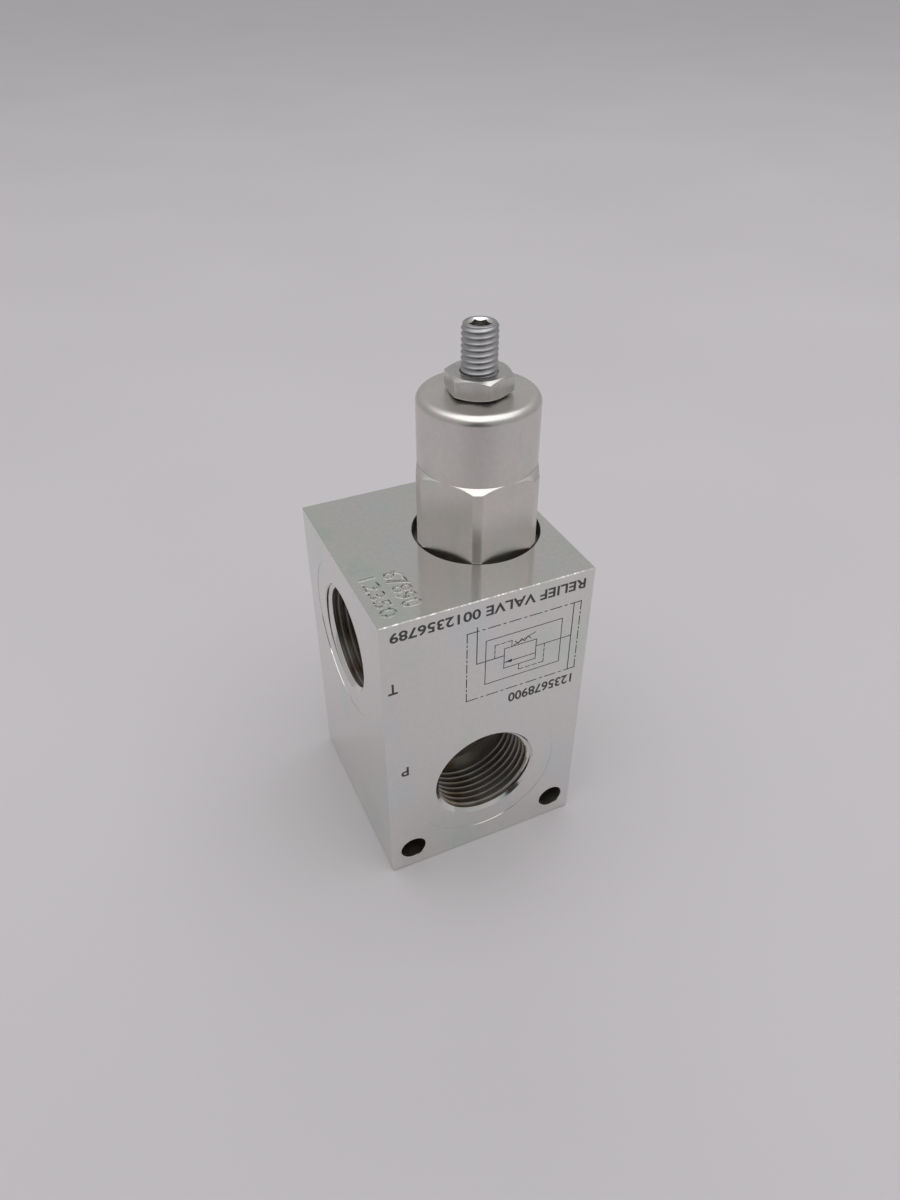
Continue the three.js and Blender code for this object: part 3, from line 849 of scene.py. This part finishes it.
def make_cartridge_body():
    _, skirt_bottom, cap_top = levels("cartridge_body")
    screw_hole = SCREW_CREST_R + THREAD_CLEARANCE
    band_edge = math.acos(HEX_ACROSS_FLATS / 2 / HEX_CORNER_R)
    angles = hexagon_angles(band_edge, HEX_TURN)
    radius = hexagon_radius(angles, HEX_ACROSS_FLATS, HEX_CORNER_R, HEX_TURN)
    side = hexagon_side(radius, CAP_R, SEAT_Z, HEX_TOP_Z, HEX_CHAMFER_SLOPE)
    cap = [(CAP_R - 0.02, HEX_TOP_Z + 0.15), (CAP_R, HEX_TOP_Z + 0.4)]
    cap += [(CAP_R, z) for z in np.linspace(HEX_TOP_Z + 0.6, cap_top - CAP_ROUND - 0.2, 5)]
    for step in range(13):
        angle = math.radians(90) * step / 12
        cap.append((CAP_R - CAP_ROUND * (1 - math.cos(angle)), cap_top - CAP_ROUND * (1 - math.sin(angle))))
    top = [(CAP_R - CAP_ROUND - 0.3, cap_top), (screw_hole + 0.5, cap_top), (screw_hole, cap_top - 0.5)]
    inside = [
        (screw_hole, SPRING_CHAMBER_TOP_Z), (SPRING_CHAMBER_R, SPRING_CHAMBER_TOP_Z),
        (SPRING_CHAMBER_R, CAGE_THREAD_TOP_Z), (CAGE_THREAD_R, CAGE_THREAD_TOP_Z),
        (CAGE_THREAD_R, skirt_bottom),
    ]
    below = [
        (SKIRT_R - 0.3, skirt_bottom), (SKIRT_R, skirt_bottom + 0.3), (SKIRT_R, THREAD_BOTTOM_Z),
        (BODY_THREAD_R, THREAD_BOTTOM_Z + 1.3), (BODY_THREAD_R, THREAD_TOP_Z - 0.6),
        (BODY_THREAD_R - 0.6, THREAD_TOP_Z), (NECK_R, THREAD_TOP_Z), (NECK_R, SEAT_Z),
    ]
    body = revolved("cartridge_body_look", [*below, *side, *cap, *top, *inside], angles)
    placed(smooth(body, 28), at=(AXIS_X, 0, 0))
    return enrol(body, body_zinc, "cartridge_zinc_plate", "valve_block", "cartridge_body")


# ---- adjuster ----

def screw_thread(extra=0.0):
    """A rod with the screw's thread, made larger all round by extra to cut its mating thread."""
    section = thread_section(SCREW_CREST_R + extra, SCREW_ROOT_R + extra)
    return threaded_rod("screw_thread", section, SCREW_PITCH, 105, 134, 72)


def make_adjusting_screw():
    _, bottom, top = levels("adjusting_screw")
    envelope = revolved("screw_envelope", [
        (0, bottom), (2.9, bottom), (3.1, bottom + 0.1), (3.95, bottom + 0.9), (4.2, bottom + 1.5),
        (4.2, top - 1.1), (3.86, top - 0.74), (3.66, top - 0.4), (3.48, top - 0.14), (3.3, top - 0.03),
        (3.1, top), (0, top),
    ], even_angles(72))
    screw = combine(screw_thread(), [envelope], "INTERSECT")
    socket = prism("socket", hexagon(SOCKET_ACROSS_FLATS, SOCKET_TURN), top - SOCKET_DEPTH, top + 1)
    above = top + CUTTER_REACH
    cone = [(0, top - SOCKET_LEAD_R), (SOCKET_LEAD_R + CUTTER_REACH, above), (0, above)]
    mouth = revolved("socket_mouth", cone, even_angles(48))
    screw.name = "adjusting_screw_look"
    combine(screw, [socket, mouth], "DIFFERENCE")
    smooth(screw, 35)
    enrol(screw, fastener_zinc, "fastener_steel", "adjuster", "adjusting_screw")
    # The socket's mouth takes the brighter zinc: a painted highlight on the dull screw.
    screw.data.materials.append(raised_steel_and_painted_highlight)
    for face in screw.data.polygons:
        x, y, z = face.center / MM
        if z > top - SOCKET_DEPTH - 0.1 and math.hypot(x, y) < SOCKET_LEAD_R:
            face.material_index = 1
    placed(screw, at=(AXIS_X, 0, 0))


def make_lock_nut():
    _, bottom, top = levels("lock_nut")
    corner_r = NUT_ACROSS_FLATS / math.sqrt(3) - 0.02
    angles = hexagon_angles(math.acos(NUT_ACROSS_FLATS / 2 / corner_r), NUT_TURN)
    radius = hexagon_radius(angles, NUT_ACROSS_FLATS, corner_r, NUT_TURN)
    side = hexagon_side(radius, NUT_CHAMFER_R, bottom, top, NUT_CHAMFER_SLOPE, 0.08)
    bore_r = SCREW_ROOT_R - 0.1
    nut = revolved("lock_nut_look", [(bore_r, bottom), *side, (bore_r, top)], angles)
    countersinks = []
    lead = SCREW_CREST_R + 0.35
    for z, way in ((bottom, 1), (top, -1)):
        outside = z - way * CUTTER_REACH
        inside = z + way * (lead - 3.0)
        cone = [(0, outside), (lead + CUTTER_REACH, outside), (3.0, inside), (0, z + way * 1.6)]
        countersinks.append(revolved("countersink", cone, even_angles(72)))
    combine(nut, [screw_thread(THREAD_CLEARANCE), *countersinks], "DIFFERENCE")
    placed(smooth(nut, 15), at=(AXIS_X, 0, 0))
    return enrol(nut, nut_zinc, "fastener_steel", "nut", "lock_nut")


# ---- seals and turned inner pieces ----

def turned_piece(name, node, profile, material, slot, body, ease=0.15, sharp=32):
    made = smooth(revolved(name, eased(profile, ease)), sharp)
    placed(made, at=(AXIS_X, 0, 0))
    return enrol(made, material, slot, body, node)


def ring_section(node, inner_r):
    """Profile of a flat ring between the given bore and its CAD node's outside."""
    outer, low, high = levels(node)
    return [(inner_r, low), (outer, low), (outer, high), (inner_r, high)]


def make_seal(name, node, body):
    """An O-ring squeezed in its groove: a slightly squared ellipse inside its CAD node's box."""
    outer, bottom, top = levels(node)
    half_height = (top - bottom) / 2
    node_points = np.array([v.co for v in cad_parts[node].data.vertices]) / MM
    inner = np.hypot(node_points[:, 0] - AXIS_X, node_points[:, 1]).min()
    centre_r, half_width = (outer + inner) / 2, (outer - inner) / 2
    squareness = 0.86
    profile = []
    for i in range(24):
        angle = FULL_TURN * i / 24
        c, s = math.cos(angle), math.sin(angle)
        profile.append((centre_r + half_width * math.copysign(abs(c) ** squareness, c),
                        (bottom + top) / 2 + half_height * math.copysign(abs(s) ** squareness, s)))
    made = smooth(revolved(name, profile), 60)
    placed(made, at=(AXIS_X, 0, 0))
    return enrol(made, nitrile, "seal_rubber", body, node)


def make_seals():
    make_seal("body_o_ring_look", "body_o_ring", "valve_block")
    make_seal("nose_o_ring_look", "nose_o_ring", "valve_block")
    make_seal("follower_o_ring_look", "follower_o_ring", "follower")
    for node, inner, body in (("nose_backup_ring_lower", NOSE_GROOVE_R + 0.1, "valve_block"),
                              ("nose_backup_ring_upper", NOSE_GROOVE_R + 0.1, "valve_block"),
                              ("follower_backup_ring", FOLLOWER_GROOVE_R + 0.1, "follower")):
        turned_piece(node + "_look", node, ring_section(node, inner), ptfe, "backup_plastic", body, 0.1)
    turned_piece("nut_seal_washer_look", "nut_seal_washer", ring_section("nut_seal_washer", 4.15), nitrile,
                 "seal_rubber", "washer", 0.08)


def make_spring_follower():
    outer, bottom, top = levels("spring_follower")
    groove_top = FOLLOWER_GROOVE_Z + FOLLOWER_GROOVE_WIDTH
    profile = [
        (0, bottom), (GUIDE_SPIGOT_R - 1, bottom), (GUIDE_SPIGOT_R, bottom + 2),
        (GUIDE_SPIGOT_R, FOLLOWER_SHOULDER_Z), (outer, FOLLOWER_SHOULDER_Z), (outer, FOLLOWER_GROOVE_Z),
        (FOLLOWER_GROOVE_R, FOLLOWER_GROOVE_Z), (FOLLOWER_GROOVE_R, groove_top), (outer, groove_top),
        (outer, top), (BALL_POCKET_R, top), (BALL_POCKET_R, top - BALL_POCKET_DEPTH),
        (0, top - BALL_POCKET_DEPTH),
    ]
    turned_piece("spring_follower_look", "spring_follower", profile, ground_steel, "hardened_steel",
                 "follower")


def make_lower_guide():
    outer, bottom, top = levels("lower_spring_guide")
    disc_low, disc_high = bottom + 3, top - 6
    profile = [
        (VENT_R, bottom), (POPPET_BORE_R - 0.2, bottom), (POPPET_BORE_R - 0.2, disc_low),
        (outer, disc_low), (outer, disc_high), (GUIDE_SPIGOT_R, disc_high), (GUIDE_SPIGOT_R, top - 2),
        (GUIDE_SPIGOT_R - 1, top), (VENT_R, top),
    ]
    turned_piece("lower_spring_guide_look", "lower_spring_guide", profile, ground_steel, "hardened_steel",
                 "poppet_stack")


def make_shims():
    for node in ("spring_shim_lower", "spring_shim_upper"):
        turned_piece(node + "_look", node, ring_section(node, GUIDE_SPIGOT_R + 0.2), ground_steel,
                     "hardened_steel", "poppet_stack", 0.05)


def make_cage():
    _, bottom, top = levels("valve_cage")
    lead = 0.7
    profile = eased([
        (INLET_R, bottom), (NOSE_R - lead, bottom), (NOSE_R, bottom + lead), (NOSE_R, NOSE_GROOVE_BOTTOM_Z),
        (NOSE_GROOVE_R, NOSE_GROOVE_BOTTOM_Z), (NOSE_GROOVE_R, NOSE_GROOVE_TOP_Z),
        (NOSE_R, NOSE_GROOVE_TOP_Z), (NOSE_R, NOSE_TOP_Z), (CAGE_R, NOSE_TOP_Z + CAGE_R - NOSE_R),
        (CAGE_R, CAGE_SHOULDER_Z), (CAGE_THREAD_R - 0.1, CAGE_SHOULDER_Z), (CAGE_THREAD_R - 0.1, top),
        (CAGE_GUIDE_R, top), (CAGE_GUIDE_R, CAGE_GUIDE_Z), (CAGE_CHAMBER_R, CAGE_GUIDE_Z),
        (CAGE_CHAMBER_R, CAGE_CHAMBER_Z), (SEAT_POCKET_R, CAGE_CHAMBER_Z),
        (SEAT_POCKET_R, SEAT_POCKET_Z), (INLET_R, SEAT_POCKET_Z),
    ], 0.12)
    cage = revolved("valve_cage_look", profile)
    windows = []
    hole_profile = [(0, 6.5), (WINDOW_R, 6.5), (WINDOW_R, 9.8), (WINDOW_R + 0.4, 10.3), (0, 10.3)]
    for i in range(WINDOW_COUNT):
        hole = revolved("window", hole_profile, even_angles(40))
        placed(hole, (0, 90, 0))
        windows.append(placed(hole, (0, 0, 360 / WINDOW_COUNT * i), (0, 0, WINDOW_Z)))
    combine(cage, windows, "DIFFERENCE")
    placed(smooth(cage), at=(AXIS_X, 0, 0))
    return enrol(cage, ground_steel, "hardened_steel", "valve_block", "valve_cage")


def make_seat():
    outer, bottom, top = levels("valve_seat")
    profile = [(SEAT_R, bottom), (outer, bottom), (outer, top), (SEAT_R + SEAT_CHAMFER, top),
               (SEAT_R, top - SEAT_CHAMFER)]
    turned_piece("valve_seat_look", "valve_seat", profile, ground_steel, "hardened_steel",
                 "valve_block", 0.08)


def make_poppet():
    outer, bottom, top = levels("poppet")
    profile = eased([
        (0, bottom), (POPPET_TIP_R, bottom), (outer, bottom + outer - POPPET_TIP_R), (outer, top),
        (POPPET_BORE_R, top), (POPPET_BORE_R, POPPET_BORE_Z), (0, POPPET_BORE_Z),
    ], 0.12)
    poppet = revolved("poppet_look", profile)
    vent = revolved("vent", [(0, -8), (VENT_R, -8), (VENT_R, 8), (0, 8)], even_angles(24))
    combine(poppet, [placed(vent, (0, 90, 0), (0, 0, POPPET_BORE_Z + 1.5))], "DIFFERENCE")
    placed(smooth(poppet), at=(AXIS_X, 0, 0))
    return enrol(poppet, ground_steel, "hardened_steel", "poppet_stack", "poppet")


def make_thrust_ball():
    radius, bottom, top = levels("thrust_ball")
    middle = (bottom + top) / 2
    profile = []
    for step in range(33):
        angle = math.pi * step / 32 - math.pi / 2
        profile.append((max(radius * math.cos(angle), 0.0), middle + radius * math.sin(angle)))
    profile[0] = (0.0, bottom)
    profile[-1] = (0.0, top)
    ball = placed(smooth(revolved("thrust_ball_look", profile, even_angles(64)), 60), at=(AXIS_X, 0, 0))
    return enrol(ball, ground_steel, "hardened_steel", "follower", "thrust_ball")


def spring_centre(turn, low, high):
    """A point on the spring's centre line: a close turn at each end and an even pitch between."""
    pitch = (high - low - WIRE_R - 2 * END_PITCH) / (COIL_TURNS - 2)
    middle = min(max(turn - 1, 0), COIL_TURNS - 2)
    z = low + WIRE_R / 2 + END_PITCH * (turn - middle) + pitch * middle
    angle = turn * FULL_TURN
    return Vector((COIL_R * math.cos(angle), COIL_R * math.sin(angle), z))


def spring_stretch(name, first, last, low, high):
    """The wire between two turns of the spring, its end coils ground flat."""
    steps = int((last - first) * 64)
    sides = 20
    vertices = []
    for i in range(steps + 1):
        turn = first + (last - first) * i / steps
        centre = spring_centre(turn, low, high)
        outward = Vector((centre.x, centre.y, 0)).normalized()
        for side in range(sides):
            angle = FULL_TURN * side / sides
            point = centre + outward * WIRE_R * math.cos(angle) + Vector((0, 0, WIRE_R * math.sin(angle)))
            point.z = min(max(point.z, low), high)
            vertices.append(tuple(point))
    faces = []
    for i in range(steps):
        for side in range(sides):
            after = (side + 1) % sides
            a, b = i * sides, (i + 1) * sides
            faces.append((a + side, a + after, b + after, b + side))
    faces.append(tuple(range(sides)))
    faces.append(tuple(range(steps * sides, (steps + 1) * sides)))
    made = smooth(new_object(name, vertices, faces), 40)
    placed(made, at=(AXIS_X, 0, 0))
    made.data.materials.append(spring_wire)
    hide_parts("main_spring")
    return made


def make_spring():
    _, low, high = levels("main_spring")
    turns = [t / 100 for t in range(int(COIL_TURNS * 100))]
    split = next(t for t in turns if spring_centre(t, low, high).z > SPRING_SPLIT_Z)
    lower = spring_stretch("main_spring_lower", 0, split, low, high)
    upper = spring_stretch("main_spring_upper", split, COIL_TURNS, low, high)
    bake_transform(lower)
    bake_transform(upper)


# ---- studio ----

CAMERA_AT = (-68.31, -152.65, 190.5)
CAMERA_YAW = math.radians(-24.75)
CAMERA_PITCH = math.radians(37.67)  # below the horizon
CAMERA_LENS = 26.1

# Brightness of the surroundings, by how high a direction points: 0 is the horizon and 1 straight up
SKY = ((0.0, 0.40), (0.25, 0.42), (0.55, 0.46), (0.8, 0.75), (1.0, 0.7))
SKY_BEHIND = 0.43


def make_camera():
    data = bpy.data.cameras.new("camera")
    data.sensor_fit = "VERTICAL"
    data.sensor_height = 36.0
    data.lens = CAMERA_LENS
    data.clip_start = 0.005
    camera = bpy.data.objects.new("camera", data)
    camera.location = Vector(CAMERA_AT) * MM
    camera.rotation_euler = (math.radians(90) - CAMERA_PITCH, 0, CAMERA_YAW)
    bpy.context.scene.collection.objects.link(camera)
    bpy.context.scene.camera = camera


def make_floor():
    half = 6000
    floor = prism("floor", [(-half, -half), (half, -half), (half, half), (-half, half)], -40, 0)
    shader = Shader("floor_paper", Metallic=0.0)
    grain = shader.noise(shader.object_place, 6.0, 2.0, 0.4)
    colour = shader.ramp(grain, [(0.3, (0.57, 0.548, 0.566)), (0.7, (0.59, 0.568, 0.586))])
    rough = shader.remap(grain, 0.3, 0.7, 0.6, 0.66)
    floor.data.materials.append(shader.finish(Base_Color=colour, Roughness=rough))


def make_flag(name, centre, width, height):
    """An upright dark card that the polished metal mirrors. The camera doesn't see the card itself."""
    side, front = width / 2, 2
    outline = [(-side, -front), (side, -front), (side, front), (-side, front)]
    card = prism(name, outline, centre[2] - height / 2, centre[2] + height / 2)
    placed(card, (0, 0, math.degrees(CAMERA_YAW)), (centre[0], centre[1], 0))
    shader = Shader(name, Metallic=0.0)
    cloth = shader.noise(shader.object_place, 300.0, 2.0, 0.5)
    colour = shader.ramp(cloth, [(0.3, (0.02, 0.02, 0.02)), (0.7, (0.03, 0.03, 0.03))])
    card.data.materials.append(shader.finish(Base_Color=colour))
    card.visible_camera = False


def area_light(name, at, aim, size, radiance):
    data = bpy.data.lights.new(name, "AREA")
    data.shape = "RECTANGLE"
    data.size, data.size_y = size
    data.energy = math.pi * size[0] * size[1] * radiance
    light = bpy.data.objects.new(name, data)
    light.location = at
    light.rotation_euler = (Vector(aim) - Vector(at)).to_track_quat("-Z", "Y").to_euler()
    bpy.context.scene.collection.objects.link(light)


def make_world():
    """Soft surrounding light, brightest high up. Behind the object, away from the camera, it is even."""
    world = bpy.data.worlds.new("studio")
    world.use_nodes = True
    tree = world.node_tree

    def node(kind, **links):
        made = tree.nodes.new(kind)
        for key, source in links.items():
            tree.links.new(source, made.inputs[key])
        return made

    place = node("ShaderNodeTexCoord").outputs["Generated"]
    height = node("ShaderNodeSeparateXYZ", Vector=place).outputs["Z"]
    ramp = node("ShaderNodeValToRGB", Fac=height)
    while len(ramp.color_ramp.elements) < len(SKY):
        ramp.color_ramp.elements.new(0.5)
    for element, (position, level) in zip(ramp.color_ramp.elements, SKY):
        element.position = position
        element.color = (level, level * 0.99, level, 1)
    along = node("ShaderNodeVectorMath", Vector=place)
    along.operation = "DOT_PRODUCT"
    along.inputs[1].default_value = (-math.sin(CAMERA_YAW), math.cos(CAMERA_YAW), 0)
    share = node("ShaderNodeMapRange", Value=along.outputs["Value"])
    share.interpolation_type = "SMOOTHSTEP"
    share.inputs["From Min"].default_value = 0.4
    share.inputs["From Max"].default_value = 0.75
    mix = node("ShaderNodeMix")
    mix.data_type = "RGBA"
    tree.links.new(share.outputs["Result"], mix.inputs[0])
    tree.links.new(ramp.outputs["Color"], mix.inputs[6])
    mix.inputs[7].default_value = (SKY_BEHIND, SKY_BEHIND, SKY_BEHIND, 1)
    tree.links.new(mix.outputs[2], tree.nodes["Background"].inputs["Color"])
    bpy.context.scene.world = world


def make_studio():
    make_camera()
    make_floor()
    make_world()
    area_light("overhead_softbox", (0, -0.3, 1.6), (0, -0.3, 0), (2.3, 1.9), 0.97)
    area_light("key_light", (-0.35, -0.9, 1.25), (0, 0, 0.08), (0.35, 0.2), 2.0)
    make_flag("camera_flag", (-73, -163, 190), 75, 150)
    make_flag("operator_flag", (-110, -245, 90), 240, 90)
    bpy.context.scene.view_settings.view_transform = "Standard"


make_studio()
make_block()
make_stamp_rims()
make_marking()
make_cartridge_body()
make_adjusting_screw()
make_lock_nut()
make_seals()
make_spring_follower()
make_lower_guide()
make_shims()
make_cage()
make_seat()
make_poppet()
make_thrust_ball()
make_spring()
